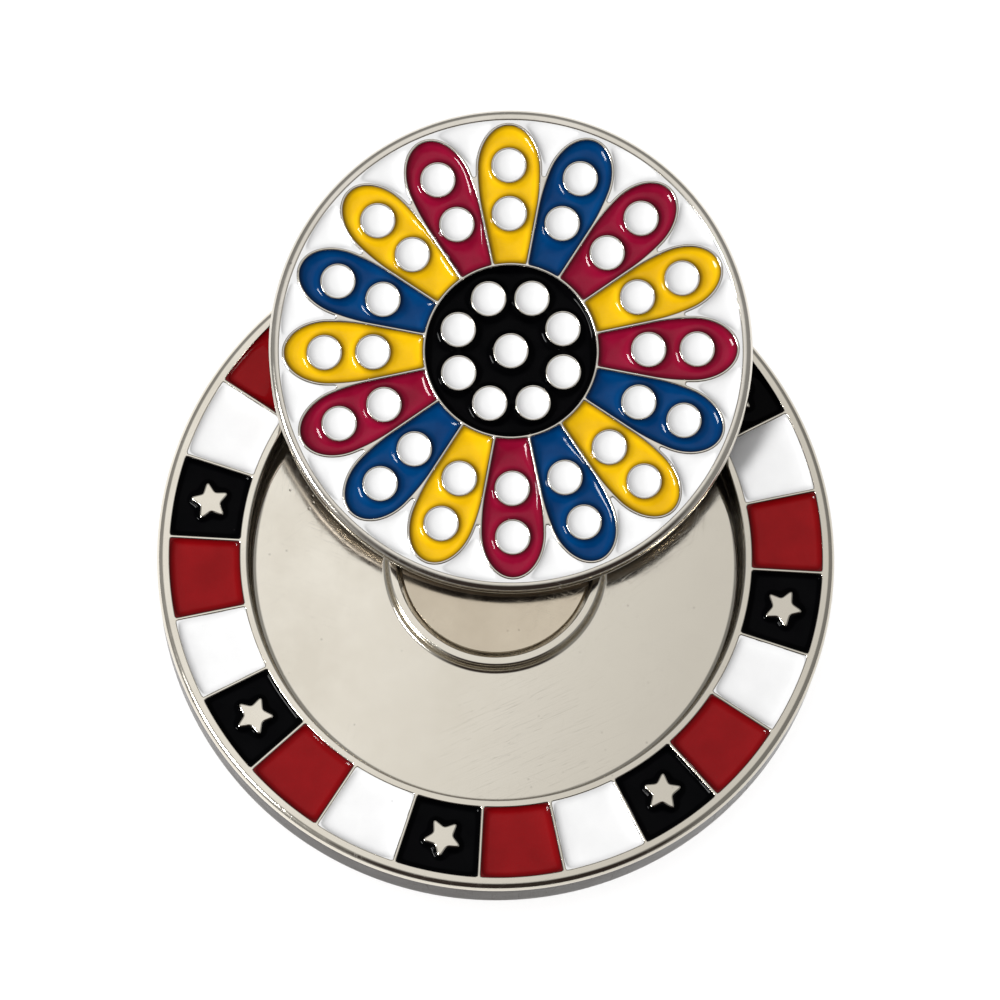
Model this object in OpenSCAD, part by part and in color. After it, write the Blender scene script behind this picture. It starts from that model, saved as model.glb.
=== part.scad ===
// Golf ball marker: a struck metal chip with a ring of enamel cells and a magnet in its recess,
// and a round enamelled marker disc that lifts off it.
// Millimetres. Origin at the centre of the chip's flat back, +Z out of its enamelled front.
// The marker is out of its seat: its near edge stands on the magnet and its underside leans
// on the lip of the recess.

/* [Chip] */
// Outside diameter of the chip
chip_d = 39.6; // [39:0.1:43]
// Thickness of the chip, from its back to the top of its metal lines
chip_t = 4.2; // [4:0.1:4.8]
// Radius that rounds the chip's two outer edges
chip_edge = 0.45; // [0.2:0.05:0.6]
// Width of the bare metal rim outside the enamel cells
rim_w = 0.74; // [0.7:0.01:1.2]
// Width of the bare metal lip between the cells and the recess
lip_w = 0.47; // [0.3:0.01:0.6]
// Radius that rounds the lip into the recess
lip_edge = 0.15; // [0.05:0.05:0.2]

/* [Enamel cells of the chip] */
// Width of the metal line between two cells
cell_line = 0.18; // [0.12:0.02:0.3]
// Direction of the first cell, in degrees from +X towards +Y
cell_turn = 4.5; // [0:0.5:15]
// Depth of the pockets that hold the enamel
enamel_depth = 0.5; // [0.3:0.05:0.6]
// How far the enamel stops below the metal lines
enamel_drop = 0.06; // [0.02:0.01:0.1]
// Reach of a star's rounded point from its centre
star_reach = 1.15; // [0.8:0.01:1.3]
// Distance of a star's notches from its centre, over its reach
star_notch = 0.55; // [0.45:0.01:0.7]
// Radius that rounds a star's points
star_round = 0.13; // [0.05:0.01:0.15]

/* [Recess and magnet] */
// Diameter of the recess that the marker sits in
recess_d = 29; // [28.8:0.1:29.6]
// Depth of the recess below the metal lines
recess_depth = 2.5; // [2:0.05:2.6]
// Radius between the recess's wall and floor
recess_fillet = 0.6; // [0.3:0.1:0.8]
// Diameter of the magnet
magnet_d = 11.3; // [10:0.1:11.4]
// Thickness of the magnet
magnet_t = 1.7; // [1.5:0.05:1.75]
// Bevel round the magnet's face
magnet_bevel = 0.14; // [0.05:0.01:0.2]
// Gap between the magnet and the raised ring round it
magnet_gap = 0.16; // [0.05:0.01:0.2]
// Wall of the raised ring
ring_w = 0.56; // [0.45:0.01:0.8]
// Height of the raised ring above the recess's floor
ring_h = 1.05; // [0.9:0.05:1.2]
// How far the magnet's face stops below the top of the ring
magnet_drop = 0.05; // [0:0.01:0.15]
// Thickness of the glue under the magnet
glue_t = 0.1; // [0.05:0.01:0.15]

/* [Marker] */
// Outside diameter of the marker
marker_d = 28.3; // [28.1:0.1:28.4]
// Thickness of the marker, from its back to the top of its metal lines
marker_t = 1.8; // [1.5:0.1:2.2]
// Radius that rounds the marker's two outer edges
marker_edge = 0.45; // [0.1:0.05:0.5]
// Width of the bare metal rim outside the white enamel
marker_rim = 0.62; // [0.5:0.01:0.7]
// Width of a petal where it is widest
petal_w = 3.58; // [3.4:0.02:3.8]
// Distance of a petal's widest place from the marker's centre
petal_wide_at = 10.65; // [10.4:0.05:10.9]
// Distance of the petals' tips from the marker's centre
petal_reach = 13.22; // [13:0.01:13.25]
// Width of the metal line round a petal
petal_line = 0.16; // [0.1:0.01:0.2]
// Distance from the marker's centre at which the white teeth between petals end
tooth_in = 10.4; // [10.2:0.05:10.8]
// Diameter of the black hub
hub_d = 10; // [9.6:0.1:10.4]
// Diameter of a white dot
dot_d = 1.88; // [1.6:0.02:1.96]
// Wall of the metal ring round a dot
dot_line = 0.1; // [0.06:0.01:0.14]
// Distance of the outer dots from the marker's centre
outer_dot_at = 10.89; // [10.7:0.01:11]
// Distance of the inner dots from the marker's centre
inner_dot_at = 8.05; // [7.9:0.01:8.2]
// Distance of the hub's dots from the marker's centre
hub_dot_at = 3.31; // [3.1:0.01:3.5]

/* [Pose of the marker] */
// How far the marker's centre lies from the chip's, along X
shift_x = 0.8; // [0:0.1:1.5]
// How far the marker's centre lies from the chip's, along Y
shift_y = 11.9; // [11.5:0.1:13]
// How far the marker is turned about its own axis
marker_turn = 0.7; // [-11:0.1:11]
// Air left between the marker and what it leans on
lean_gap = 0.04; // [0.03:0.01:0.1]

/* [Hidden] */
$fn = 128;
overcut = 1;                                // how far a cutter runs past the face it opens

chip_r = chip_d / 2;
recess_r = recess_d / 2;
floor_z = chip_t - recess_depth;            // the recess's floor
pocket_z = chip_t - enamel_depth;           // the cells' floor
cell_out = chip_r - rim_w;
cell_in = recess_r + lip_w;
cell_mid = (cell_in + cell_out) / 2;
cell_count = 24;
cell_pitch = 360 / cell_count;
colour_count = 3;                           // red, white and black cells take turns
group_count = cell_count / colour_count;

magnet_r = magnet_d / 2;
socket_r = magnet_r + magnet_gap;
ring_out = socket_r + ring_w;
ring_z = floor_z + ring_h;
ring_edge = 0.2;                            // rounds the ring's outer top edge
ring_fillet = 0.3;                          // rounds the ring into the floor
ring_bevel = 0.06;                          // breaks the ring's inner top edge
magnet_top = ring_z - magnet_drop;
magnet_bottom = magnet_top - magnet_t;
socket_z = magnet_bottom - glue_t;
glue_inset = 0.15;                          // how far the glue stops inside the magnet's edge

marker_r = marker_d / 2;
field_r = marker_r - marker_rim;
face_floor = marker_t - enamel_depth;       // the marker's pockets, above its back
hub_r = hub_d / 2;
dot_r = dot_d / 2;
petal_count = 16;
petal_pitch = 360 / petal_count;
petal_half = petal_w / 2;
petal_slope = tan(petal_pitch / 2);         // of the petal's straight side
petal_rise = petal_wide_at * petal_slope - petal_line / 2 / cos(petal_pitch / 2);
petal_back = sqrt(petal_rise * petal_rise - petal_half * petal_half) / petal_slope;
petal_front = petal_reach - petal_wide_at;
hub_dot_count = 8;

// The marker leans on three places: the magnet, under its near edge, and the lip of the recess
// to the left and right, where the edge of its flat underside crosses the lip.
shift = norm([shift_x, shift_y]);
shift_turn = atan2(shift_y, shift_x) - 90;
flat_r = marker_r - marker_edge;            // edge of the marker's flat underside
lip_r = recess_r + lip_edge;                // inner edge of the lip's flat top
lip_y = (lip_r * lip_r - flat_r * flat_r + shift * shift) / (2 * shift);
tilt = atan((chip_t - magnet_top) / (lip_y - shift + flat_r));
seat_z = chip_t + lean_gap + (shift - lip_y) * tan(tilt);

nickel = [0.78, 0.76, 0.72];
magnet_nickel = [0.72, 0.68, 0.6];
glue_grey = [0.35, 0.35, 0.33];
enamel_red = [0.57, 0.08, 0.1];
enamel_white = [0.96, 0.96, 0.95];
enamel_black = [0.03, 0.03, 0.04];
enamel_yellow = [0.96, 0.78, 0.12];
enamel_blue = [0.01, 0.2, 0.39];
enamel_magenta = [0.56, 0.1, 0.22];

// Cell colours anticlockwise from the first cell
cell_colours = ["red", "white", "black"];
cell_rgb = [enamel_red, enamel_white, enamel_black];
STAR_COLOUR = 2;                            // the black cells carry a raised star

// Petal colours clockwise from the petal that points along +Y
petal_colours = [
    "yellow", "blue", "magenta", "yellow", "magenta", "blue", "yellow", "blue",
    "magenta", "yellow", "blue", "magenta", "yellow", "blue", "yellow", "magenta"
];

// How many entries of a list before place i equal its entry there, plus one
function rank(list, i) = len([for (j = [0 : i]) if (list[j] == list[i]) j]);

cell_names = [
    for (i = [0 : cell_count - 1])
        str(cell_colours[i % colour_count], "_cell_", floor(i / colour_count) + 1)
];
petal_names = [
    for (k = [0 : petal_count - 1]) str(petal_colours[k], "_petal_", rank(petal_colours, k))
];

// Points along an arc of a circle
function arc(x, y, r, from, to, steps) = [
    for (i = [0 : steps])
        let (a = from + (to - from) * i / steps)
            [x + r * cos(a), y + r * sin(a)]
];

function turned(p, a) = [p.x * cos(a) - p.y * sin(a), p.x * sin(a) + p.y * cos(a)];

// Between two lines that run a given width apart from their neighbours' lines
module wedge_2d(half_angle, line, length) {
    apex = line / 2 / sin(half_angle);
    polygon([
        [apex, 0],
        [apex + length * cos(half_angle), length * sin(half_angle)],
        [apex + length * cos(half_angle), -length * sin(half_angle)]
    ]);
}

// A five-pointed star with its first point along +X and its points rounded
module star_2d() {
    points = 5;
    half = 180 / points;
    // The point's half angle follows from its notch, and the rounding takes its tip back to star_reach
    sharp = star_reach + star_round * 1.4;
    notch = star_reach * star_notch;
    lean = atan2(notch * sin(half), sharp - notch * cos(half));
    centre = sharp - star_round / sin(lean);
    tip = arc(centre, 0, star_round, lean - 90, 90 - lean, 4);
    polygon([
        for (k = [0 : points - 1])
            each concat(
                [for (p = tip) turned(p, 2 * half * k)],
                [turned([notch, 0], 2 * half * k + half)]
            )
    ]);
}

// One enamel cell of the chip
module cell_2d(i) {
    rotate(cell_turn + i * cell_pitch)
        difference() {
            intersection() {
                circle(cell_out);
                wedge_2d(cell_pitch / 2, cell_line, 2 * chip_r);
            }
            circle(cell_in);
            if (i % colour_count == STAR_COLOUR)
                translate([cell_mid, 0])
                    star_2d();
        }
}

// Half section of the chip, from its axis round its back, rim, recess, ring and socket
module chip_section() {
    polygon(concat(
        [[0, 0]],
        arc(chip_r - chip_edge, chip_edge, chip_edge, -90, 0, 8),
        arc(chip_r - chip_edge, chip_t - chip_edge, chip_edge, 0, 90, 8),
        arc(recess_r + lip_edge, chip_t - lip_edge, lip_edge, 90, 180, 4),
        arc(recess_r - recess_fillet, floor_z + recess_fillet, recess_fillet, 0, -90, 8),
        arc(ring_out + ring_fillet, floor_z + ring_fillet, ring_fillet, -90, -180, 5),
        arc(ring_out - ring_edge, ring_z - ring_edge, ring_edge, 0, 90, 5),
        [
            [socket_r + ring_bevel, ring_z],
            [socket_r, ring_z - ring_bevel],
            [socket_r, socket_z],
            [0, socket_z]
        ]
    ));
}

module chip_body() {
    color(nickel)
        difference() {
            rotate_extrude()
                chip_section();
            translate([0, 0, pocket_z])
                linear_extrude(enamel_depth + overcut)
                    for (i = [0 : cell_count - 1])
                        cell_2d(i);
        }
}

module chip_cell(i) {
    color(cell_rgb[i % colour_count])
        translate([0, 0, pocket_z])
            linear_extrude(enamel_depth - enamel_drop)
                cell_2d(i);
}

module magnet() {
    color(magnet_nickel)
        translate([0, 0, magnet_bottom])
            rotate_extrude()
                polygon([
                    [0, 0],
                    [magnet_r - magnet_bevel, 0],
                    [magnet_r, magnet_bevel],
                    [magnet_r, magnet_t - magnet_bevel],
                    [magnet_r - magnet_bevel, magnet_t],
                    [0, magnet_t]
                ]);
}

module magnet_glue() {
    color(glue_grey)
        translate([0, 0, socket_z])
            cylinder(r = magnet_r - magnet_bevel - glue_inset, h = glue_t);
}

// Puts a marker that is drawn flat at the origin, back down, where it leans on the chip
module leaning() {
    rotate(shift_turn)
        translate([0, shift, seat_z])
            rotate([tilt, 0, 0])
                rotate(marker_turn - shift_turn)
                    children();
}

// Places its child at each petal's direction
module at_petal(k) {
    rotate(90 - k * petal_pitch)
        children();
}

// Points on a petal's round part, moved out by a margin: an ellipse about its widest place
function petal_arc(axis, from, to, steps, margin) = [
    for (i = [0 : steps])
        let (a = from + (to - from) * i / steps,
             out = [petal_half * cos(a), axis * sin(a)])
            [petal_wide_at + axis * cos(a), petal_half * sin(a)] + margin * out / norm(out)
];

// A petal along +X, grown by a margin: two straight sides that run from a point near the
// marker's centre into a long half ellipse, and a short half ellipse round the tip
module petal_outline_2d(margin) {
    apex = (petal_line / 2 - margin) / sin(petal_pitch / 2);
    joint = acos(-petal_back * petal_slope / petal_rise);
    side = concat(
        petal_arc(petal_back, joint, 90, 8, margin),
        petal_arc(petal_front, 90, 0, 12, margin)
    );
    last = len(side) - 1;
    polygon(concat(
        [[apex, 0]],
        side,
        [for (i = [1 : last]) [side[last - i].x, -side[last - i].y]]
    ));
}

module petal_dots_2d(r) {
    for (x = [inner_dot_at, outer_dot_at])
        translate([x, 0])
            circle(r);
}

module petal_2d(k) {
    at_petal(k)
        difference() {
            petal_outline_2d(0);
            circle(hub_r + petal_line);
            petal_dots_2d(dot_r + dot_line);
        }
}

// The white enamel: a ring whose teeth reach in between the petals
module white_field_2d() {
    difference() {
        circle(field_r);
        circle(tooth_in);
        for (k = [0 : petal_count - 1])
            at_petal(k)
                petal_outline_2d(petal_line);
    }
}

module hub_ring_dots_2d(r) {
    for (k = [0 : hub_dot_count - 1])
        rotate((k + 0.5) * 360 / hub_dot_count)
            translate([hub_dot_at, 0])
                circle(r);
}

module hub_2d() {
    difference() {
        circle(hub_r);
        hub_ring_dots_2d(dot_r + dot_line);
        circle(dot_r + dot_line);
    }
}

// A fill of the marker's face
module marker_fill() {
    leaning()
        translate([0, 0, face_floor])
            linear_extrude(enamel_depth - enamel_drop)
                children();
}

module marker_body() {
    color(nickel)
        leaning()
            difference() {
                rotate_extrude()
                    polygon(concat(
                        [[0, 0]],
                        arc(marker_r - marker_edge, marker_edge, marker_edge, -90, 0, 6),
                        arc(marker_r - marker_edge, marker_t - marker_edge, marker_edge, 0, 90, 6),
                        [[0, marker_t]]
                    ));
                translate([0, 0, face_floor])
                    linear_extrude(enamel_depth + overcut) {
                        white_field_2d();
                        hub_2d();
                        hub_ring_dots_2d(dot_r);
                        circle(dot_r);
                        for (k = [0 : petal_count - 1]) {
                            petal_2d(k);
                            at_petal(k)
                                petal_dots_2d(dot_r);
                        }
                    }
            }
}

module white_field() {
    color(enamel_white)
        marker_fill()
            white_field_2d();
}

module petal(k) {
    rgb = petal_colours[k] == "yellow" ? enamel_yellow
        : petal_colours[k] == "blue" ? enamel_blue
        : enamel_magenta;
    color(rgb)
        marker_fill()
            petal_2d(k);
}

module black_hub() {
    color(enamel_black)
        marker_fill()
            hub_2d();
}

module petal_dots() {
    color(enamel_white)
        marker_fill()
            for (k = [0 : petal_count - 1])
                at_petal(k)
                    petal_dots_2d(dot_r);
}

module hub_dots() {
    color(enamel_white)
        marker_fill()
            hub_ring_dots_2d(dot_r);
}

module centre_dot() {
    color(enamel_white)
        marker_fill()
            circle(dot_r);
}

chip_body();
magnet();
magnet_glue();
for (i = [0 : cell_count - 1])
    chip_cell(i);
marker_body();
white_field();
for (k = [0 : petal_count - 1])
    petal(k);
black_hub();
petal_dots();
hub_dots();
centre_dot();
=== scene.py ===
import math

import bmesh
import bpy
import numpy as np
from mathutils import Matrix, Vector
from mathutils.geometry import delaunay_2d_cdt


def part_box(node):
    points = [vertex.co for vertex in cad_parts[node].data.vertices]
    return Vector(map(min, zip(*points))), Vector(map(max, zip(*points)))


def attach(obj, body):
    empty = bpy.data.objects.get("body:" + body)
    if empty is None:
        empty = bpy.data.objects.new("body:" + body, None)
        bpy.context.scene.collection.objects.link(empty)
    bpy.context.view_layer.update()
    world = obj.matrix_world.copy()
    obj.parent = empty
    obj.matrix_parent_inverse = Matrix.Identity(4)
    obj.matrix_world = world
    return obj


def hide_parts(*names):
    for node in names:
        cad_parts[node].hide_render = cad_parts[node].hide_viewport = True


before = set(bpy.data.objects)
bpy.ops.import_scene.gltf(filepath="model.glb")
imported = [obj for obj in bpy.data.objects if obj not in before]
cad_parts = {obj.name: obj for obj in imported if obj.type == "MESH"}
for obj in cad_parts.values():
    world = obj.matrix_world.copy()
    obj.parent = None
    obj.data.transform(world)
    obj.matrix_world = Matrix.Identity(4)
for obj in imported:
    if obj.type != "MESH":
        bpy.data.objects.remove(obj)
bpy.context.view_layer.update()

MM = 0.001                # metres in a millimetre

# ---------------------------------------------------------------- sizes, in millimetres
STEP = 0.12               # spacing of the points along an outline
FINE = 0.04               # spacing of the points that distances are measured to
LATHE_STEPS = 360         # points round a turned surface

# The chip, with the CAD model's sizes
CHIP_EDGE = 0.45
RIM_W = 0.74
LIP_W = 0.47
LIP_EDGE = 0.15
CELL_COUNT = 24
CELL_TURN = 4.5           # degrees
CELL_LINE = 0.18
POCKET_DEPTH = 0.5
STAR_REACH = 1.15
STAR_NOTCH = 0.55         # the notches' radius over the reach
STAR_ROUND = 0.13
STAR_DOME = 0.16          # width of the star's rounded border
STAR_FALL = 0.1           # how far that border falls
RECESS_R = 14.5
RECESS_DEPTH = 2.5
RECESS_FILLET = 0.6
MAGNET_R = 5.65
MAGNET_GAP = 0.16
MAGNET_T = 1.7
GLUE_T = 0.1
MAGNET_DROP = 0.05
RING_W = 0.56
RING_H = 1.05
RING_EDGE = 0.2
RING_FILLET = 0.3
RING_BEVEL = 0.06

# The marker, with the CAD model's sizes
MARKER_EDGE = 0.45
MARKER_RIM = 0.62
PETAL_COUNT = 16
PETAL_W = 3.58
PETAL_WIDE_AT = 10.65
PETAL_REACH = 13.22
PETAL_LINE = 0.16
TOOTH_IN = 10.4
HUB_R = 5.0
DOT_R = 0.94
DOT_LINE = 0.1
OUTER_DOT_AT = 10.89
INNER_DOT_AT = 8.05
HUB_DOT_AT = 3.31
HUB_DOT_COUNT = 8

# Finer than the CAD model
LINE_ROUND = 0.07         # rounds the top edges of the metal lines
RING_ROUND = 0.045        # rounds the thin metal rings round the dots
WALL_SEEN = 0.03          # how far below the metal the enamel meets the wall
CORNER_SOFT = 0.05        # how much the sharp corners of the pockets are softened
WALL_SHADE_HEIGHT = 0.22         # how tall the enamel's painted shade along the walls is


# ---------------------------------------------------------------- outlines
def ring_of(x, y, r, step=STEP):
    n = max(24, int(round(2 * math.pi * r / step)))
    a = np.arange(n) * 2 * math.pi / n
    return np.stack([x + r * np.cos(a), y + r * np.sin(a)], 1)


def arc_of(x, y, r, start, end, step=STEP / 3):
    """Points along an arc, with its angles in radians."""
    n = max(2, int(abs(end - start) * r / step))
    a = np.linspace(start, end, n + 1)
    return np.stack([x + r * np.cos(a), y + r * np.sin(a)], 1)


def resample(loop, step):
    """A closed outline's points, spaced evenly."""
    closed = np.vstack([loop, loop[:1]])
    s = np.r_[0, np.cumsum(np.hypot(*np.diff(closed, axis=0).T))]
    n = max(12, int(round(s[-1] / step)))
    t = np.arange(n) * s[-1] / n
    return np.stack([np.interp(t, s, closed[:, 0]), np.interp(t, s, closed[:, 1])], 1)


def soften(loop, radius):
    """Rounds a closed outline's corners by averaging it along itself."""
    fine = resample(loop, radius / 3)
    total = np.zeros_like(fine)
    weight = 0.0
    for k in range(-9, 10):
        w = math.exp(-0.5 * (k / 3.0) ** 2)
        total += w * np.roll(fine, k, axis=0)
        weight += w
    return resample(total / weight, STEP)


def anticlockwise(loop):
    nxt = np.roll(loop, -1, 0)
    area = np.sum(loop[:, 0] * nxt[:, 1] - nxt[:, 0] * loop[:, 1])
    return loop if area > 0 else loop[::-1].copy()


def outward(loop):
    """The direction out of an outline at each point, longer at corners so that walls stay even."""
    edge = np.roll(loop, -1, 0) - loop
    edge /= np.linalg.norm(edge, axis=1)[:, None]
    side = np.stack([edge[:, 1], -edge[:, 0]], 1)
    mean = side + np.roll(side, 1, 0)
    mean /= np.linalg.norm(mean, axis=1)[:, None]
    return mean / np.maximum((mean * side).sum(1), 0.7)[:, None]


def grow(loop, margin):
    """The outline with each point moved out by the margin."""
    return loop + outward(loop) * margin


def turn(points, angle):
    c, s = math.cos(angle), math.sin(angle)
    return np.stack([points[:, 0] * c - points[:, 1] * s,
                     points[:, 0] * s + points[:, 1] * c], 1)


def inside(points, loops):
    """Whether each point is inside, by even and odd crossings of the outlines."""
    odd = np.zeros(len(points), bool)
    for loop in loops:
        a, b = loop, np.roll(loop, -1, 0)
        for i in range(0, len(points), 4000):
            p = points[i:i + 4000]
            y = p[:, 1][:, None]
            crosses = (a[:, 1] > y) != (b[:, 1] > y)
            rise = b[:, 1] - a[:, 1]
            rise[rise == 0] = 1e-12
            x = (b[:, 0] - a[:, 0]) * (y - a[:, 1]) / rise + a[:, 0]
            odd[i:i + 4000] ^= (crosses & (p[:, 0][:, None] < x)).sum(1) % 2 == 1
    return odd


def nearest(points, samples):
    """Each point's distance from the nearest sample."""
    out = np.empty(len(points))
    for i in range(0, len(points), 2000):
        p = points[i:i + 2000]
        d = np.hypot(p[:, 0][:, None] - samples[:, 0], p[:, 1][:, None] - samples[:, 1])
        out[i:i + 2000] = d.min(1)
    return out


def wall_sum(points, samples, spacing, reach):
    """How much wall there is round each point; 1 right beside one long straight wall."""
    out = np.empty(len(points))
    for i in range(0, len(points), 2000):
        p = points[i:i + 2000]
        d = np.hypot(p[:, 0][:, None] - samples[:, 0], p[:, 1][:, None] - samples[:, 1])
        out[i:i + 2000] = np.exp(-d / reach).sum(1) * spacing / (2 * reach)
    return out


def straight_wall_table():
    """wall_sum() beside one straight wall, against the distance over the reach."""
    x = np.linspace(0, 9, 400)
    s = np.linspace(-14, 14, 6000)
    total = np.exp(-np.hypot(x[:, None], s)).sum(1) * (s[1] - s[0]) / 2
    return x, total


WALL_X, WALL_TOTAL = straight_wall_table()


def soft_distance(points, loops, reach):
    """Distance from the walls, without a crease where two walls are equally near."""
    samples = np.vstack([resample(loop, FINE) for loop in loops])
    total = wall_sum(points, samples, FINE, reach)
    return np.interp(-total, -WALL_TOTAL, WALL_X) * reach


def fill_points(outer, holes, depths, grid):
    """Points inside a region: rows that follow its walls, then an even grid."""
    loops = [outer] + holes
    samples = np.vstack([resample(loop, FINE) for loop in loops])
    push = np.vstack([-outward(outer)] + [outward(hole) for hole in holes])
    edge = np.vstack(loops)
    rows = []
    for depth in depths:
        p = edge + push * depth
        p = p[nearest(p, samples) > depth * 0.95]
        rows.append(p)
    low, high = outer.min(0), outer.max(0)
    nx = int((high[0] - low[0]) / grid) + 2
    ny = int((high[1] - low[1]) / (grid * 0.866)) + 2
    gx, gy = np.meshgrid(np.arange(nx), np.arange(ny))
    g = np.stack([low[0] + (gx + 0.5 * (gy % 2)).ravel() * grid + grid * 0.37,
                  low[1] + gy.ravel() * grid * 0.866 + grid * 0.29], 1)
    g = g[inside(g, loops)]
    if len(g):
        g = g[nearest(g, samples) > depths[-1] + grid * 0.45]
        rows.append(g)
    points = np.vstack(rows)
    # Two points that nearly meet leave one
    cell = np.round(points / 0.02).astype(np.int64)
    _, first = np.unique(cell, axis=0, return_index=True)
    return points[np.sort(first)]


# ---------------------------------------------------------------- meshes
def lathe_circle():
    """A circle of radius 1 with as many points as a turned surface has."""
    a = np.arange(LATHE_STEPS) * 2 * math.pi / LATHE_STEPS
    return np.stack([np.cos(a), np.sin(a)], 1)


class Solid:
    """A mesh in the making. Its points are in millimetres in the piece's own frame."""

    def __init__(self):
        self.rows = []
        self.count = 0
        self.faces = []

    def ring(self, xy, z):
        """Adds points at a height and returns their numbers."""
        z = np.broadcast_to(np.asarray(z, float), (len(xy),))
        self.rows.append(np.column_stack([xy, z]))
        self.count += len(xy)
        return np.arange(self.count - len(xy), self.count)

    def band(self, a, b):
        """Faces between two rings with as many points each."""
        a2, b2 = np.roll(a, -1), np.roll(b, -1)
        self.faces += np.stack([a, a2, b2, b], 1).tolist()

    def fan(self, ring, z):
        """Faces from a ring to a point on the axis."""
        tip = self.ring(np.zeros((1, 2)), z)[0]
        nxt = np.roll(ring, -1)
        self.faces += [[int(i), int(j), int(tip)] for i, j in zip(ring, nxt)]

    def skin(self, rings, extra=None):
        """Triangles between rings, by even and odd; extra is a ring of loose points."""
        points = np.vstack(self.rows)
        index = np.concatenate(list(rings) + ([extra] if extra is not None else []))
        flat = points[index][:, :2]
        edges = []
        start = 0
        for ring in rings:
            n = len(ring)
            edges += [(start + i, start + (i + 1) % n) for i in range(n)]
            start += n
        made = delaunay_2d_cdt([Vector(p) for p in flat], edges, [], 0, 1e-7)
        verts, faces, origin = made[0], made[2], made[3]
        back = [index[o[0]] if o else -1 for o in origin]
        if min(back) < 0:
            raise ValueError("two outlines cross")
        tri = np.array([list(f) for f in faces])
        flat_out = np.array([[v.x, v.y] for v in verts])
        keep = inside(flat_out[tri].mean(1), [points[r][:, :2] for r in rings])
        back = np.array(back)
        self.faces += back[tri[keep]].tolist()

    def lathe(self, profile, start=None):
        """Rings round the axis along a profile of (radius, height); returns the last ring."""
        circle = lathe_circle()
        ring = start
        tip = None
        for r, z in profile:
            if r == 0:
                if ring is None:
                    tip = z
                else:
                    self.fan(ring, z)
                    ring = None
                continue
            new = self.ring(circle * r, z)
            if tip is not None:
                self.fan(new, tip)
                tip = None
            elif ring is not None:
                self.band(ring, new)
            ring = new
        return ring

    def build(self, name, material, matrix=Matrix.Identity(4), flat_angle=None,
              others=()):
        """others are more materials, each with a test that picks the faces it goes on."""
        points = np.vstack(self.rows) * MM
        mesh = bpy.data.meshes.new(name)
        mesh.from_pydata(points.tolist(), [], self.faces)
        bm = bmesh.new()
        bm.from_mesh(mesh)
        loose = [v for v in bm.verts if not v.link_faces]
        bmesh.ops.delete(bm, geom=loose, context="VERTS")
        bmesh.ops.recalc_face_normals(bm, faces=bm.faces)
        if flat_angle is not None:
            for e in bm.edges:
                if len(e.link_faces) == 2:
                    e.smooth = e.calc_face_angle(0) < flat_angle
        bm.to_mesh(mesh)
        bm.free()
        mesh.materials.append(material)
        for number, (other, chosen) in enumerate(others, 1):
            mesh.materials.append(other)
            for face in mesh.polygons:
                if chosen(face):
                    face.material_index = number
        mesh.transform(matrix)
        mesh.polygons.foreach_set("use_smooth", [True] * len(mesh.polygons))
        obj = bpy.data.objects.new(name, mesh)
        bpy.context.scene.collection.objects.link(obj)
        return obj


def weigh_normals(obj):
    """Lets the flat faces keep flat shading beside their rounded edges."""
    modifier = obj.modifiers.new("flat faces stay flat", "WEIGHTED_NORMAL")
    modifier.mode = "FACE_AREA"
    modifier.weight = 80
    modifier.keep_sharp = True


def on_wall(face, radius):
    """Whether a face is on an upright outer wall of this radius."""
    return abs(face.normal.z) < 0.05 and face.center.xy.length > radius * MM * 0.998


def on_back(face):
    """Whether a face looks down, as a disc's back and its lower edge do."""
    return face.normal.z < -0.05


def arc_profile(r, z, radius, start, end, steps):
    """An arc of a lathe's profile, with its angles in degrees."""
    angles = [math.radians(start + (end - start) * i / steps) for i in range(steps + 1)]
    return [(r + radius * math.cos(a), z + radius * math.sin(a)) for a in angles]


def pocket_wall(solid, loop, top, floor, rounding, side=1):
    """From the metal's flat top over its rounded edge down a wall; returns top and floor rings.
    side is 1 where the pocket is inside the loop, -1 where it is outside."""
    first = last = None
    for angle in (0, 22, 45, 68, 90):
        a = math.radians(angle)
        ring = solid.ring(grow(loop, side * rounding * (1 - math.sin(a))),
                          top - rounding * (1 - math.cos(a)))
        if last is None:
            first = ring
        else:
            solid.band(last, ring)
        last = ring
    ring = solid.ring(loop, floor)
    solid.band(last, ring)
    return first, ring


def enamel_shape(outer, holes, top, floor, drop, width, reach=0.2):
    """An enamel fill: it hangs from the walls and sinks by drop over about width from them.
    reach is how far the walls round a corner melt into one."""
    solid = Solid()
    loops = [outer] + holes
    edge_z = top - WALL_SEEN
    rim = [solid.ring(loop, edge_z) for loop in loops]
    inner = fill_points(outer, holes, (0.03, 0.07, 0.12, 0.18, 0.26, 0.36, 0.48), 0.32)
    depth = soft_distance(inner, loops, reach)
    z = edge_z - drop * (1 - np.exp(-depth / width))
    extra = solid.ring(inner, z)
    solid.skin(rim, extra)
    base = [solid.ring(loop, floor) for loop in loops]
    for a, b in zip(rim, base):
        solid.band(a, b)
    solid.skin(base)
    return solid


def moved(solid, angle=0.0, x=0.0, y=0.0):
    """A copy of a shape, turned about the axis and then shifted."""
    new = Solid()
    points = np.vstack(solid.rows)
    new.rows = [np.column_stack([turn(points[:, :2], angle) + (x, y), points[:, 2]])]
    new.count = solid.count
    new.faces = solid.faces
    return new


def joined(solids):
    """Several shapes as one piece."""
    new = Solid()
    for part in solids:
        start = new.count
        new.rows += part.rows
        new.count += part.count
        new.faces += [[v + start for v in face] for face in part.faces]
    return new


def add_piece(obj, body, slot, *nodes):
    """Puts a piece on a CAD body in place of CAD nodes."""
    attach(obj, body)
    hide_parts(*nodes)


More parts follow.
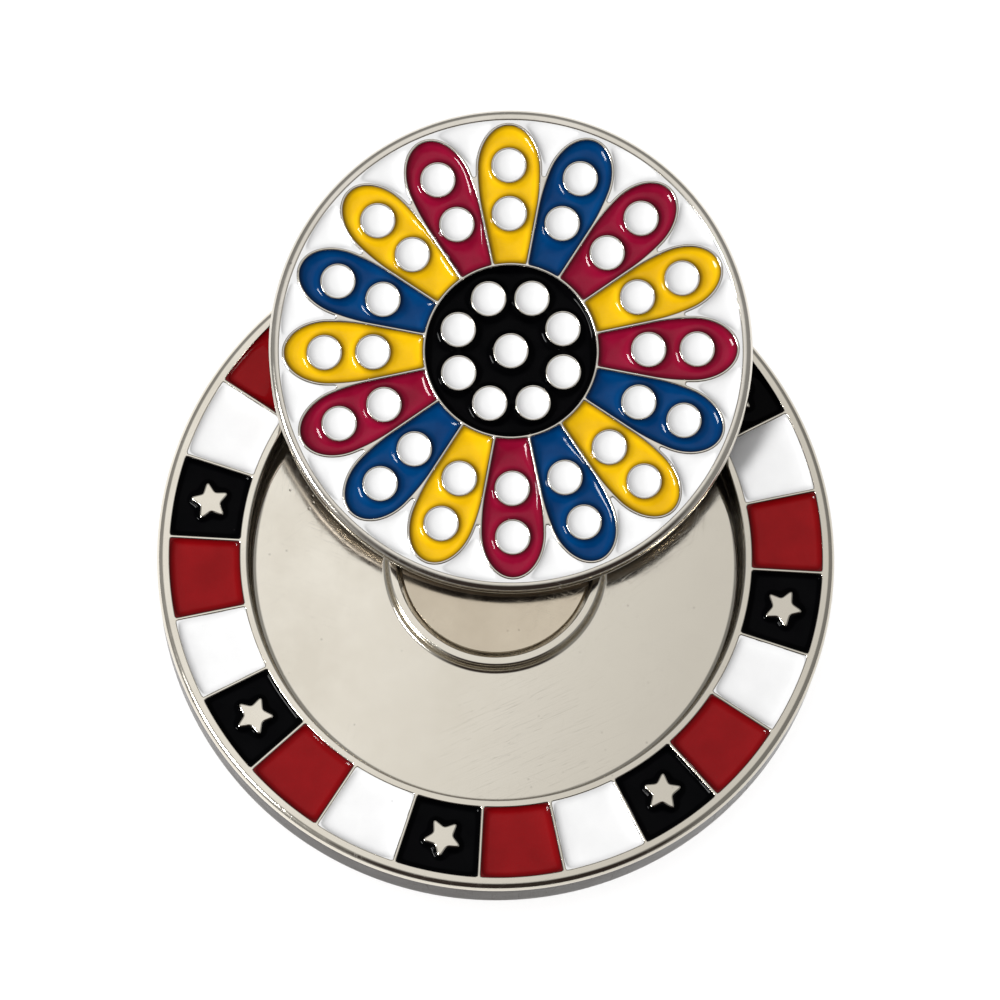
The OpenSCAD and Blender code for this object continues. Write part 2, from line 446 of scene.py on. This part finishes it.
# ---------------------------------------------------------------- outlines of the fills
def cell_outline(out_r, in_r):
    """A cell of the chip's ring, centred on +X."""
    half = math.pi / CELL_COUNT
    a_out = half - math.asin(CELL_LINE / 2 / out_r)
    a_in = half - math.asin(CELL_LINE / 2 / in_r)
    loop = np.vstack([arc_of(0, 0, out_r, -a_out, a_out), arc_of(0, 0, in_r, a_in, -a_in)])
    return soften(anticlockwise(loop), CORNER_SOFT)


def star_outline(x):
    """A five-pointed star with rounded tips, centred at x on the X axis."""
    half = math.pi / 5
    sharp = STAR_REACH + STAR_ROUND * 1.4
    notch = STAR_REACH * STAR_NOTCH
    lean = math.atan2(notch * math.sin(half), sharp - notch * math.cos(half))
    centre = sharp - STAR_ROUND / math.sin(lean)
    tip = arc_of(centre, 0, STAR_ROUND, lean - math.pi / 2, math.pi / 2 - lean, 0.02)
    rows = []
    for k in range(5):
        rows.append(turn(tip, 2 * half * k))
        rows.append(turn(np.array([[notch, 0.0]]), 2 * half * k + half))
    loop = soften(anticlockwise(np.vstack(rows)), 0.025)
    return resample(loop, 0.06) + np.array([x, 0.0])


def petal_arc(axis, start, end, steps, margin):
    """Part of the half ellipse round a petal's widest place; axis is its half length along X."""
    a = np.linspace(start, end, steps + 1)
    half = PETAL_W / 2
    point = np.stack([PETAL_WIDE_AT + axis * np.cos(a), half * np.sin(a)], 1)
    out = np.stack([half * np.cos(a), axis * np.sin(a)], 1)
    return point + margin * out / np.linalg.norm(out, axis=1)[:, None]


def petal_side(margin):
    """Half a petal's outline, from its straight side's end to its tip."""
    turn_half = math.pi / PETAL_COUNT
    slope = math.tan(turn_half)
    rise = PETAL_WIDE_AT * slope - PETAL_LINE / 2 / math.cos(turn_half)
    back = math.sqrt(rise ** 2 - (PETAL_W / 2) ** 2) / slope
    joint = math.acos(-back * slope / rise)
    return np.vstack([petal_arc(back, joint, math.pi / 2, 24, margin),
                      petal_arc(PETAL_REACH - PETAL_WIDE_AT, math.pi / 2, 0, 40, margin)[1:]])


def petal_outline():
    """A petal that points along +X, from its foot on the hub's line to its tip."""
    half = math.pi / PETAL_COUNT
    foot = HUB_R + PETAL_LINE
    a = half - math.asin(PETAL_LINE / 2 / foot)
    side = petal_side(0.0)
    mirror = side[::-1][1:] * np.array([1, -1])
    start = np.array([[foot * math.cos(a), foot * math.sin(a)]])
    loop = np.vstack([start, side, mirror, arc_of(0, 0, foot, -a, a)[:-1]])
    return soften(anticlockwise(loop), CORNER_SOFT)


def field_inner_outline():
    """The white field's inner boundary: round the petals, with teeth between them."""
    side = petal_side(PETAL_LINE)
    side = side[np.hypot(side[:, 0], side[:, 1]) > TOOTH_IN]
    a = math.atan2(side[0][1], side[0][0])
    pitch = 2 * math.pi / PETAL_COUNT
    one = np.vstack([side * np.array([1, -1]), side[::-1][1:],
                     arc_of(0, 0, TOOTH_IN, a, pitch - a)[1:-1]])
    loop = np.vstack([turn(one, k * pitch) for k in range(PETAL_COUNT)])
    return soften(anticlockwise(loop), 0.035)


# ---------------------------------------------------------------- materials
def new_material(name):
    """A material's tree with its shader, and the object's own coordinates in metres."""
    mat = bpy.data.materials.new(name)
    mat.use_nodes = True
    tree = mat.node_tree
    tree.nodes.clear()
    out = tree.nodes.new("ShaderNodeOutputMaterial")
    shader = tree.nodes.new("ShaderNodeBsdfPrincipled")
    tree.links.new(shader.outputs[0], out.inputs[0])
    where = tree.nodes.new("ShaderNodeTexCoord").outputs["Object"]
    return mat, tree, shader, where


def stretched(tree, where, scale, angle, place):
    m = tree.nodes.new("ShaderNodeMapping")
    m.vector_type = "TEXTURE"
    m.inputs["Rotation"].default_value = (0.0, 0.0, angle)
    m.inputs["Location"].default_value = place
    m.inputs["Scale"].default_value = tuple(1.0 / v for v in scale)
    tree.links.new(where, m.inputs["Vector"])
    return m.outputs[0]


def noise(tree, vector, scale, detail, rough=0.55):
    n = tree.nodes.new("ShaderNodeTexNoise")
    n.inputs["Scale"].default_value = scale
    n.inputs["Detail"].default_value = detail
    n.inputs["Roughness"].default_value = rough
    tree.links.new(vector, n.inputs["Vector"])
    return n.outputs["Fac"]


def ramp(tree, value, *stops):
    r = tree.nodes.new("ShaderNodeValToRGB")
    while len(r.color_ramp.elements) < len(stops):
        r.color_ramp.elements.new(0.5)
    for element, (at, colour) in zip(r.color_ramp.elements, stops):
        element.position = at
        c = (colour,) * 3 if isinstance(colour, (int, float)) else colour
        element.color = (*c, 1.0)
    tree.links.new(value, r.inputs[0])
    return r.outputs[0]


def maths(tree, operation, a, b=0.0, c=0.0, clamp=False):
    m = tree.nodes.new("ShaderNodeMath")
    m.operation = operation
    m.use_clamp = clamp
    for socket, value in zip(m.inputs, (a, b, c)):
        if isinstance(value, (int, float)):
            socket.default_value = value
        else:
            tree.links.new(value, socket)
    return m.outputs[0]


def measure(tree, operation, where, place):
    """A vector operation with a fixed vector that gives a number, such as a distance."""
    m = tree.nodes.new("ShaderNodeVectorMath")
    m.operation = operation
    tree.links.new(where, m.inputs[0])
    m.inputs[1].default_value = tuple(place)
    return m.outputs["Value"]


def mix(tree, factor, a, b, blend="MIX"):
    m = tree.nodes.new("ShaderNodeMix")
    m.data_type = "RGBA"
    m.blend_type = blend
    for socket, value in ((m.inputs[0], factor), (m.inputs[6], a), (m.inputs[7], b)):
        if isinstance(value, (int, float)):
            socket.default_value = value
        elif isinstance(value, tuple):
            socket.default_value = (*value, 1.0)
        else:
            tree.links.new(value, socket)
    return m.outputs[2]


def bump(tree, height, distance, below=None):
    b = tree.nodes.new("ShaderNodeBump")
    b.inputs["Strength"].default_value = 1.0
    b.inputs["Distance"].default_value = distance
    tree.links.new(height, b.inputs["Height"])
    if below is not None:
        tree.links.new(below, b.inputs["Normal"])
    return b.outputs[0]


def linear(r, g, b):
    """A colour given as 0 to 255, as the shader wants it."""
    return tuple((v / 12.92 if v <= 0.04045 else ((v + 0.055) / 1.055) ** 2.4)
                 for v in (r / 255, g / 255, b / 255))


def darker(colour, factor):
    return tuple(v * factor for v in colour)


def patches(tree, where, scale, low, high):
    """1 in patches and 0 between them, with soft edges."""
    return ramp(tree, noise(tree, where, scale, 2), (low, 0.0), (high, 1.0))


def specks(tree, where, density, cluster, low, high, core, edge):
    """Small round marks at random places, gathered in clusters."""
    spots = tree.nodes.new("ShaderNodeTexVoronoi")
    spots.inputs["Scale"].default_value = density
    tree.links.new(where, spots.inputs["Vector"])
    mark = ramp(tree, spots.outputs["Distance"], (core, 1.0), (edge, 0.0))
    return maths(tree, "MULTIPLY", mark, patches(tree, where, cluster, low, high))


def hairlines(tree, where, angle, along, across, scale, rough, middle, width, place=0.0):
    """Long fine lines in one direction, where a stretched noise crosses a middle value."""
    field = stretched(tree, where, (along, across, along), angle, (place, place, 0.0))
    return ramp(tree, noise(tree, field, scale, 2, rough),
                (middle - width, 0.0), (middle, 1.0), (middle + width, 0.0))


def metal(name, bright, dull, roughness, scratches=0.5, pits=0.5, waviness=1.0, scuffs=None,
          shaded_side=None, grazing=1.0):
    """Plated metal: uneven tone, faint waves, pits and scratches. The shaded side, given as a
    direction and how far out it reaches full strength, is a painted shade that darkens the metal
    towards that side; grazing dims the metal where it is seen edge-on."""
    mat, tree, shader, where = new_material(name)
    link = tree.links.new
    shader.inputs["Metallic"].default_value = 1.0
    shader.inputs["Specular Tint"].default_value = (grazing, grazing, grazing, 1.0)
    tone = ramp(tree, noise(tree, where, 260, 4), (0.3, 0.0), (0.7, 1.0))
    colour = mix(tree, tone, dull, bright)
    # Painted shade: the metal darkens towards one side, as if the light fell from the other side
    if shaded_side:
        way, reach = shaded_side
        side_shade = maths(tree, "MULTIPLY_ADD", measure(tree, "DOT_PRODUCT", where, way), 0.5 / reach, 0.5)
        side_shade = maths(tree, "ADD", side_shade, maths(tree, "MULTIPLY", tone, 0.08))
        colour = mix(tree, ramp(tree, side_shade, (0.35, 0.0), (1.0, 1.0)), colour, darker(dull, 0.8))
    # Small pits in the plating, some of them dark
    pit = specks(tree, where, 1150, 600, 0.5, 0.62, 0.05, 0.12)
    colour = mix(tree, maths(tree, "MULTIPLY", pit, 0.55 * pits), colour, darker(dull, 0.35))
    # Hairline scratches in three directions, each in patches of its own
    line = None
    for angle, place, cluster in ((0.62, 0.0, 170), (-0.35, 0.013, 222), (1.35, 0.027, 278)):
        one = hairlines(tree, where, angle, 9.0, 420.0, 16, 0.4, 0.5, 0.008, place)
        one = maths(tree, "MULTIPLY", one, patches(tree, where, cluster, 0.52, 0.6))
        line = one if line is None else maths(tree, "MAXIMUM", line, one)
    colour = mix(tree, maths(tree, "MULTIPLY", line, 0.2 * scratches), colour, darker(dull, 0.6))
    rough = maths(tree, "MULTIPLY_ADD", noise(tree, where, 900, 3), 0.16, roughness - 0.08)
    rough = maths(tree, "ADD", rough, maths(tree, "MULTIPLY", line, 0.15), clamp=True)
    if scuffs:
        # A patch of fresh diagonal scratches
        middle, radius, angle = scuffs
        away = maths(tree, "DIVIDE", measure(tree, "DISTANCE", where, middle), radius)
        scuff = hairlines(tree, where, angle, 7.0, 330.0, 20, 0.45, 0.49, 0.015)
        scuff = maths(tree, "MULTIPLY", scuff, ramp(tree, away, (0.35, 1.0), (1.0, 0.0)))
        colour = mix(tree, maths(tree, "MULTIPLY", scuff, 0.4), colour, darker(dull, 0.5))
        line = maths(tree, "MAXIMUM", line, scuff)
    link(colour, shader.inputs["Base Color"])
    link(rough, shader.inputs["Roughness"])
    normal = bump(tree, noise(tree, where, 260, 2), 0.00002 * waviness)
    normal = bump(tree, noise(tree, where, 5200, 3), 0.0000012 * waviness, below=normal)
    normal = bump(tree, pit, -0.000012 * pits, below=normal)
    normal = bump(tree, line, -0.0000012 * scratches, below=normal)
    link(normal, shader.inputs["Normal"])
    return mat


def enamel(name, colour, deep, roughness, specular, face=None, edge=1.0):
    """Soft enamel: a glossy fill with uneven pigment, faint dimples, dust specks and fine scratches.
    face is the direction and height of the metal's face: a painted shade darkens the colour, by edge,
    where the fill climbs up to it."""
    mat, tree, shader, where = new_material(name)
    link = tree.links.new
    shader.inputs["Specular IOR Level"].default_value = specular
    tone = ramp(tree, noise(tree, where, 480, 4), (0.32, 0.0), (0.68, 1.0))
    c = mix(tree, tone, deep, colour)
    # Painted shade: the colour darkens near the walls, where the fill climbs up to the metal
    if face:
        out, height = face
        wall_shade = maths(tree, "MULTIPLY_ADD", measure(tree, "DOT_PRODUCT", where, out),
                      1 / (WALL_SHADE_HEIGHT * MM), 1 - height / (WALL_SHADE_HEIGHT * MM))
        c = mix(tree, ramp(tree, wall_shade, (0.1, 0.0), (0.95, 1.0)), c, darker(deep, edge))
    speck = specks(tree, where, 900, 500, 0.55, 0.64, 0.03, 0.07)
    c = mix(tree, maths(tree, "MULTIPLY", speck, 0.35), c, tuple(v * 0.6 + 0.02 for v in deep))
    link(c, shader.inputs["Base Color"])
    line = maths(tree, "MULTIPLY", hairlines(tree, where, 0.8, 10.0, 380.0, 16, 0.4, 0.5, 0.01),
                 patches(tree, where, 190, 0.55, 0.63))
    rough = maths(tree, "MULTIPLY_ADD", noise(tree, where, 700, 3), 0.08, roughness - 0.04)
    rough = maths(tree, "ADD", rough, maths(tree, "MULTIPLY", line, 0.12), clamp=True)
    link(rough, shader.inputs["Roughness"])
    normal = bump(tree, noise(tree, where, 520, 2), 0.00003)
    normal = bump(tree, noise(tree, where, 2600, 2), 0.0000016, below=normal)
    normal = bump(tree, speck, 0.000008, below=normal)
    link(normal, shader.inputs["Normal"])
    return mat


def floor_material():
    mat, tree, shader, where = new_material("pale_floor")
    tone = mix(tree, noise(tree, where, 9, 3), (0.93, 0.93, 0.93), (0.96, 0.96, 0.96))
    tree.links.new(tone, shader.inputs["Base Color"])
    shader.inputs["Roughness"].default_value = 0.75
    shader.inputs["Specular IOR Level"].default_value = 0.2
    return mat


# ---------------------------------------------------------------- the chip
chip_low, chip_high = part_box("chip_body")
CHIP_T = (chip_high.z - chip_low.z) / MM
CHIP_R = (chip_high.x - chip_low.x) / MM / 2
CELL_OUT = CHIP_R - RIM_W
CELL_IN = RECESS_R + LIP_W
FLOOR_Z = CHIP_T - RECESS_DEPTH
POCKET_Z = CHIP_T - POCKET_DEPTH
SOCKET_R = MAGNET_R + MAGNET_GAP
RING_OUT = SOCKET_R + RING_W
RING_Z = FLOOR_Z + RING_H
SOCKET_Z = RING_Z - MAGNET_DROP - MAGNET_T - GLUE_T

# The chip's nickel carries real scuffs in the recess and a painted shade that darkens it towards +X
# and -Y
NICKEL = metal("nickel_plate", linear(234, 228, 215), linear(222, 215, 201), 0.12,
               scuffs=((0.0022, -0.0112, FLOOR_Z * MM), 0.0065, 0.42),
               shaded_side=((0.93, -0.37, 0.0), RECESS_R * MM))
MARKER_NICKEL = metal("nickel_plate_marker", linear(228, 222, 212), linear(214, 208, 196), 0.12)
MAGNET_NICKEL = metal("magnet_plate", linear(206, 194, 174), linear(192, 180, 160), 0.14,
                      scratches=0.6, pits=0.8)
# Painted shade: the outer walls get a darker nickel with dimmed edge-on reflection, standing in for
# the shaded floor they reflect
SHADED_WALL_NICKEL = metal("nickel_plate_wall_painted_shade", linear(128, 122, 118), linear(118, 112, 108), 0.2,
                    waviness=1.5, grazing=0.38)
# The backs are satin, and their darker colour is painted shade that darkens their reflection under the
# marker's edge
SHADED_BACK_NICKEL = metal("nickel_plate_back_painted_shade", linear(134, 128, 122), linear(124, 118, 112), 0.5,
                    waviness=1.5)
GLUE = enamel("glue", linear(120, 118, 110), linear(100, 98, 92), 0.45, 0.3)
# Each enamel's colour, its deeper tone, roughness, specular level and how far a painted shade darkens
# it along the walls
ENAMEL_LOOK = {
    "red": (linear(136, 9, 15), linear(124, 6, 11), 0.07, 0.12, 0.4),
    "white": (linear(240, 240, 240), linear(235, 235, 235), 0.12, 0.35, 0.88),
    "black": (linear(4, 4, 5), linear(1, 1, 2), 0.06, 0.03, 0.5),
    "yellow": (linear(239, 191, 14), linear(224, 174, 9), 0.07, 0.15, 0.22),
    "blue": (linear(0, 62, 116), linear(0, 50, 100), 0.07, 0.12, 0.3),
    "magenta": (linear(146, 14, 50), linear(128, 9, 40), 0.07, 0.16, 0.35),
}


def enamels(colours, suffix, out, height):
    """Enamel materials for a metal face that looks out and lies at this height that way."""
    made = {}
    for colour in colours:
        tone, deep, roughness, specular, edge = ENAMEL_LOOK[colour]
        made[colour] = enamel(f"{colour}_enamel{suffix}", tone, deep, roughness, specular,
                              (out, height), edge)
    return made


CHIP_ENAMEL = enamels(("red", "white", "black"), "", (0, 0, 1), CHIP_T * MM)

cell_loop = cell_outline(CELL_OUT, CELL_IN)
star_loop = star_outline((CELL_IN + CELL_OUT) / 2)

def cell_turn(i):
    return math.radians(CELL_TURN) + i * 2 * math.pi / CELL_COUNT


def has_star(i):
    return i % 3 == 2


def build_chip_metal():
    solid = Solid()
    r, t, e = CHIP_R, CHIP_T, CHIP_EDGE
    outer = solid.lathe(
        [(0, 0), (r * 0.35, 0), (r * 0.7, 0)]
        + arc_profile(r - e, e, e, -90, 0, 10)
        + [(r, e + (t - 2 * e) * k / 6) for k in range(1, 6)]
        + arc_profile(r - e, t - e, e, 0, 90, 10))
    inner = solid.ring(lathe_circle() * (RECESS_R + LIP_EDGE), t)
    solid.lathe(
        arc_profile(RECESS_R + LIP_EDGE, t - LIP_EDGE, LIP_EDGE, 90, 180, 6)[1:]
        + arc_profile(RECESS_R - RECESS_FILLET, FLOOR_Z + RECESS_FILLET, RECESS_FILLET, 0, -90, 10)
        + [(RECESS_R - RECESS_FILLET - k, FLOOR_Z) for k in (1.5, 3.5, 5.5)]
        + arc_profile(RING_OUT + RING_FILLET, FLOOR_Z + RING_FILLET, RING_FILLET, -90, -180, 7)
        + arc_profile(RING_OUT - RING_EDGE, RING_Z - RING_EDGE, RING_EDGE, 0, 90, 8)
        + arc_profile(SOCKET_R + RING_BEVEL, RING_Z - RING_BEVEL, RING_BEVEL, 90, 180, 4)
        + [(SOCKET_R, SOCKET_Z + 0.4), (SOCKET_R, SOCKET_Z), (SOCKET_R * 0.5, SOCKET_Z),
           (0, SOCKET_Z)], inner)
    top = [outer, inner]
    star_fill = fill_points(star_loop, [], (0.03, 0.06, 0.1, 0.14), 0.16)
    depth = soft_distance(star_fill, [star_loop], 0.05)
    dome = t - STAR_FALL + STAR_FALL * np.sqrt(1 - (1 - np.minimum(depth / STAR_DOME, 1)) ** 2)
    for i in range(CELL_COUNT):
        loop = turn(cell_loop, cell_turn(i))
        rim, base = pocket_wall(solid, loop, t, POCKET_Z, LINE_ROUND)
        top.append(rim)
        floor = [base]
        if has_star(i):
            star = turn(star_loop, cell_turn(i))
            edge = solid.ring(star, t - STAR_FALL)
            foot = solid.ring(star, POCKET_Z)
            solid.band(edge, foot)
            extra = solid.ring(turn(star_fill, cell_turn(i)), dome)
            solid.skin([edge], extra)
            floor.append(foot)
        solid.skin(floor)
    solid.skin(top)
    obj = solid.build("chip_metal", NICKEL, flat_angle=math.radians(50),
                      others=((SHADED_WALL_NICKEL, lambda face: on_wall(face, r)),
                              (SHADED_BACK_NICKEL, on_back)))
    weigh_normals(obj)
    add_piece(obj, "chip", "nickel_plate", "chip_body")


def build_cells():
    plain_cell = enamel_shape(cell_loop, [], CHIP_T, POCKET_Z, 0.22, 0.26)
    star_cell = enamel_shape(cell_loop, [star_loop], CHIP_T, POCKET_Z, 0.2, 0.22)
    for i in range(CELL_COUNT):
        colour = ("red", "white", "black")[i % 3]
        name = f"{colour}_cell_{i // 3 + 1}"
        shape = star_cell if has_star(i) else plain_cell
        cell = moved(shape, cell_turn(i)).build(name + "_enamel", CHIP_ENAMEL[colour],
                                                flat_angle=math.radians(60))
        add_piece(cell, "chip", colour + "_enamel", name)


def dress(name, material):
    """Gives a CAD node that stays a better material."""
    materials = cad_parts[name].data.materials
    materials.clear()
    materials.append(material)


build_chip_metal()
build_cells()
dress("magnet", MAGNET_NICKEL)
dress("magnet_glue", GLUE)


# ---------------------------------------------------------------- the marker
def node_points(name):
    return np.array([v.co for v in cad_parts[name].data.vertices], float)


def marker_frame():
    """Where the marker's own frame is: origin at its back's centre, +Z out of its face."""
    hub = node_points("black_hub")
    _, _, axes = np.linalg.svd(hub - hub.mean(0), full_matrices=False)
    up = axes[2] if axes[2][2] > 0 else -axes[2]
    body = node_points("marker_body") @ up
    centre = node_points("centre_dot").mean(0)
    origin = centre + up * (body.min() - centre @ up)
    lean = Vector((0, 0, 1)).rotation_difference(Vector(up)).to_matrix().to_4x4()
    place = Matrix.Translation(Vector(origin)) @ lean
    # The first petal shows how far the marker is turned about its own axis
    petal = place.inverted() @ Vector(node_points("yellow_petal_1").mean(0))
    spin = math.atan2(petal.y, petal.x) - math.pi / 2
    return place @ Matrix.Rotation(spin, 4, "Z"), (body.max() - body.min()) / MM


MARKER_PLACE, MARKER_T = marker_frame()
flat_marker = np.array([MARKER_PLACE.inverted() @ Vector(p) for p in node_points("marker_body")])
MARKER_R = np.hypot(flat_marker[:, 0], flat_marker[:, 1]).max() / MM
FACE_FLOOR = MARKER_T - POCKET_DEPTH
FIELD_R = MARKER_R - MARKER_RIM
MARKER_UP = MARKER_PLACE.to_3x3() @ Vector((0, 0, 1))
MARKER_ENAMEL = enamels(("white", "black", "yellow", "blue", "magenta"), "_marker", MARKER_UP,
                        MARKER_UP.dot(MARKER_PLACE @ Vector((0, 0, MARKER_T * MM))))

petal_loop = petal_outline()
field_inner = field_inner_outline()
field_outer = ring_of(0, 0, FIELD_R)
hub_loop = ring_of(0, 0, HUB_R)
petal_rings = [ring_of(x, 0, DOT_R + DOT_LINE) for x in (INNER_DOT_AT, OUTER_DOT_AT)]
petal_dots = [ring_of(x, 0, DOT_R) for x in (INNER_DOT_AT, OUTER_DOT_AT)]
hub_places = [(0.0, 0.0)] + [
    (HUB_DOT_AT * math.cos((k + 0.5) * 2 * math.pi / HUB_DOT_COUNT),
     HUB_DOT_AT * math.sin((k + 0.5) * 2 * math.pi / HUB_DOT_COUNT))
    for k in range(HUB_DOT_COUNT)]
hub_rings = [ring_of(x, y, DOT_R + DOT_LINE) for x, y in hub_places]
hub_dot_loops = [ring_of(x, y, DOT_R) for x, y in hub_places]


def petal_turn(k):
    return math.pi / 2 - k * 2 * math.pi / PETAL_COUNT


def build_marker_metal():
    solid = Solid()
    r, t, e = MARKER_R, MARKER_T, MARKER_EDGE
    outer = solid.lathe(
        [(0, 0), (r * 0.35, 0), (r * 0.7, 0)]
        + arc_profile(r - e, e, e, -90, 0, 8)
        + [(r, e + (t - 2 * e) * k / 4) for k in range(1, 4)]
        + arc_profile(r - e, t - e, e, 0, 90, 8))
    top = [outer]

    def pocket(outline, holes, rounding):
        rim, base = pocket_wall(solid, outline, t, FACE_FLOOR, rounding)
        top.append(rim)
        floor = [base]
        for hole in holes:
            rim, base = pocket_wall(solid, hole, t, FACE_FLOOR, RING_ROUND, -1)
            top.append(rim)
            floor.append(base)
        solid.skin(floor)

    # The white field's pocket lies between its outer circle and its inner outline
    rim, base = pocket_wall(solid, field_outer, t, FACE_FLOOR, LINE_ROUND)
    top.append(rim)
    rim, base_in = pocket_wall(solid, field_inner, t, FACE_FLOOR, LINE_ROUND, -1)
    top.append(rim)
    solid.skin([base, base_in])
    for k in range(PETAL_COUNT):
        a = petal_turn(k)
        pocket(turn(petal_loop, a), [turn(ring, a) for ring in petal_rings], LINE_ROUND)
        for dot in petal_dots:
            pocket(turn(dot, a), [], RING_ROUND)
    pocket(hub_loop, hub_rings, LINE_ROUND)
    for dot in hub_dot_loops:
        pocket(dot, [], RING_ROUND)
    solid.skin(top)
    obj = solid.build("marker_metal", MARKER_NICKEL, MARKER_PLACE, flat_angle=math.radians(50),
                      others=((SHADED_WALL_NICKEL, lambda face: on_wall(face, r)),
                              (SHADED_BACK_NICKEL, on_back)))
    weigh_normals(obj)
    add_piece(obj, "marker", "nickel_plate", "marker_body")


def place_enamel(solid, node_name, colour):
    obj = solid.build(node_name + "_enamel", MARKER_ENAMEL[colour], MARKER_PLACE,
                      flat_angle=math.radians(60))
    add_piece(obj, "marker", colour + "_enamel", node_name)


PETAL_COLOURS = ("yellow", "blue", "magenta", "yellow", "magenta", "blue", "yellow", "blue",
                 "magenta", "yellow", "blue", "magenta", "yellow", "blue", "yellow", "magenta")


def build_petals():
    shape = enamel_shape(petal_loop, petal_rings, MARKER_T, FACE_FLOOR, 0.34, 0.36, reach=0.14)
    for k, colour in enumerate(PETAL_COLOURS):
        number = PETAL_COLOURS[:k + 1].count(colour)
        place_enamel(moved(shape, petal_turn(k)), f"{colour}_petal_{number}", colour)


def build_dots():
    shape = enamel_shape(ring_of(0, 0, DOT_R), [], MARKER_T, FACE_FLOOR, 0.3, 0.4)
    place_enamel(joined([moved(shape, 0.0, r * math.cos(petal_turn(k)), r * math.sin(petal_turn(k)))
                         for k in range(PETAL_COUNT) for r in (INNER_DOT_AT, OUTER_DOT_AT)]),
                 "petal_dots", "white")
    place_enamel(joined([moved(shape, 0.0, x, y) for x, y in hub_places[1:]]), "hub_dots", "white")
    place_enamel(moved(shape), "centre_dot", "white")


build_marker_metal()
build_petals()
build_dots()
place_enamel(enamel_shape(hub_loop, hub_rings, MARKER_T, FACE_FLOOR, 0.26, 0.24), "black_hub", "black")
place_enamel(enamel_shape(field_outer, [field_inner], MARKER_T, FACE_FLOOR, 0.26, 0.3),
             "white_field", "white")


# ---------------------------------------------------------------- floor, light, camera
AIM = Vector((0.00022, 0.00326, CHIP_T * MM))     # what the camera and the lamps look at
FLOOR_GAP = 0.00001           # keeps the floor and the chip's flat back apart
FLOOR_HALF = 2.5
CEILING = (90, 76)            # azimuth and elevation of the bright ceiling's middle
CEILING_SIZE = 0.17
CEILING_LIGHT = 0.97
SIDE_LIGHT = 0.3
PERSON = (275, 36)            # the dim patch where the photographer stands
PERSON_SIZE = 0.24
PERSON_SHADE = (0.13, 0.1, 0.09)
CAMERA = (264, 77)            # azimuth and elevation of the camera
DISTANCE = 0.35
VIEW_WIDTH = 0.0585           # what the frame spans at the chip's face
SENSOR = 36


def towards(azimuth, elevation):
    """A direction; azimuth from +X towards +Y, in degrees."""
    a, e = math.radians(azimuth), math.radians(elevation)
    return Vector((math.cos(a) * math.cos(e), math.sin(a) * math.cos(e), math.sin(e)))


def build_floor():
    mesh = bpy.data.meshes.new("floor")
    corners = ((-1, -1), (1, -1), (1, 1), (-1, 1))
    mesh.from_pydata([(x * FLOOR_HALF, y * FLOOR_HALF, -FLOOR_GAP) for x, y in corners], [],
                     [(0, 1, 2, 3)])
    mesh.materials.append(floor_material())
    floor = bpy.data.objects.new("floor", mesh)
    bpy.context.scene.collection.objects.link(floor)
    return floor


def softbox(name, azimuth, elevation, distance, width, height, power):
    """A rectangular lamp that looks at the object."""
    data = bpy.data.lights.new(name, "AREA")
    data.shape = "RECTANGLE"
    data.size, data.size_y = width, height
    data.energy = power
    lamp = bpy.data.objects.new(name, data)
    away = towards(azimuth, elevation)
    lamp.location = AIM + away * distance
    lamp.rotation_euler = away.to_track_quat("Z", "Y").to_euler()
    bpy.context.scene.collection.objects.link(lamp)
    return lamp


def only_lights(lamp, obj, wanted):
    """Makes a lamp light only this object, or everything but this object."""
    group = bpy.data.collections.new(lamp.name + "_lights")
    group.objects.link(obj)
    group.collection_objects[0].light_linking.link_state = "INCLUDE" if wanted else "EXCLUDE"
    lamp.light_linking.receiver_collection = group


def build_lamps(floor):
    """A key for the object, and a lamp that keeps the floor white with no shadow on it."""
    key = softbox("key", 206, 39, 0.5, 0.15, 0.11, 2.85)
    only_lights(key, floor, False)
    table_lamp = softbox("table_lamp", 90, 90, 1.5, 1.0, 1.0, 21.0)
    only_lights(table_lamp, floor, True)
    shadows = bpy.data.collections.new("table_shadows")
    shadows.objects.link(floor)
    table_lamp.light_linking.blocker_collection = shadows


def build_world():
    """Pale surroundings: bright overhead, dim where the photographer stands."""
    world = bpy.data.worlds.new("studio")
    world.use_nodes = True
    tree = world.node_tree
    tree.nodes.clear()
    out = tree.nodes.new("ShaderNodeOutputWorld")
    shade = tree.nodes.new("ShaderNodeBackground")
    where = tree.nodes.new("ShaderNodeTexCoord").outputs["Generated"]

    def away_from(direction):
        """Half the straight distance on the unit sphere from a direction, 0 to 1."""
        return maths(tree, "MULTIPLY", measure(tree, "DISTANCE", where, towards(*direction)), 0.5)

    sky = ramp(tree, away_from(CEILING), (CEILING_SIZE, CEILING_LIGHT),
               (CEILING_SIZE + 0.12, SIDE_LIGHT))
    person = ramp(tree, away_from(PERSON), (PERSON_SIZE, PERSON_SHADE), (PERSON_SIZE + 0.08, 1.0))
    tree.links.new(mix(tree, 1.0, sky, person, "MULTIPLY"), shade.inputs["Color"])
    tree.links.new(shade.outputs[0], out.inputs[0])
    bpy.context.scene.world = world


def build_camera():
    """A camera with the Y axis upright in its picture."""
    data = bpy.data.cameras.new("camera")
    data.sensor_width = SENSOR
    data.lens = SENSOR * DISTANCE / VIEW_WIDTH
    camera = bpy.data.objects.new("camera", data)
    back = towards(*CAMERA)
    up = (Vector((0, 1, 0)) - back * back.y).normalized()
    turned = Matrix((up.cross(back), up, back)).transposed().to_4x4()
    camera.matrix_world = Matrix.Translation(AIM + back * DISTANCE) @ turned
    bpy.context.scene.collection.objects.link(camera)
    bpy.context.scene.camera = camera


build_lamps(build_floor())
build_world()
build_camera()
bpy.context.scene.view_settings.view_transform = "Standard"
